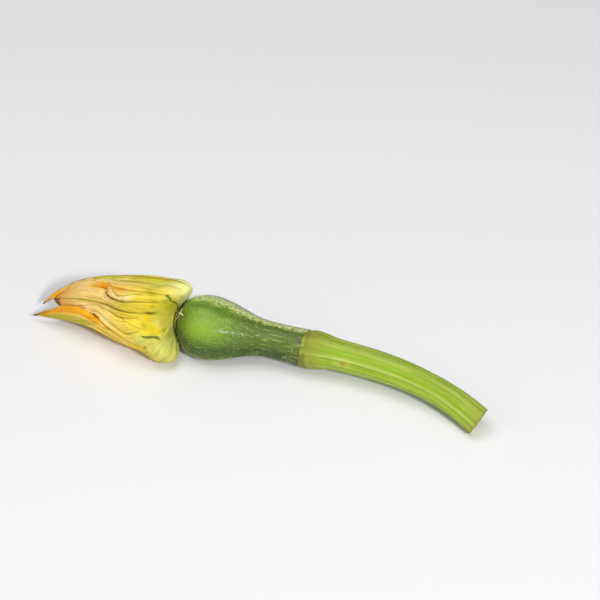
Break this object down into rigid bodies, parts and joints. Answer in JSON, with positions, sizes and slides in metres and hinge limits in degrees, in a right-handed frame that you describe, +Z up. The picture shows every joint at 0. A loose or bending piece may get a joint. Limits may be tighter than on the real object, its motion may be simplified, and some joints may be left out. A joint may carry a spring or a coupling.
{
  "type": "pumpkin flower bud",
  "caption": "Young pumpkin picked with its flower: cut ribbed stem, round green fruit with a neck, and a closed pleated yellow flower, lying on its side.",
  "frame": {"origin": "on the surface the bud lies on, under the middle of its bounding box", "axes": "+X from the flower's tips to the stem's cut end, +Z up from the surface"},
  "size_m": [0.2376, 0.0434, 0.0369],
  "materials": {
    "stem": "satin",
    "fruit": "satin",
    "calyx": "matte",
    "corolla": "matte",
    "pistil": "matte"
  },
  "bodies": {
    "root": {"stem": "stem", "fruit": "fruit", "calyx": "calyx", "corolla": "corolla", "pistil": "pistil"}
  },
  "joints": []
}
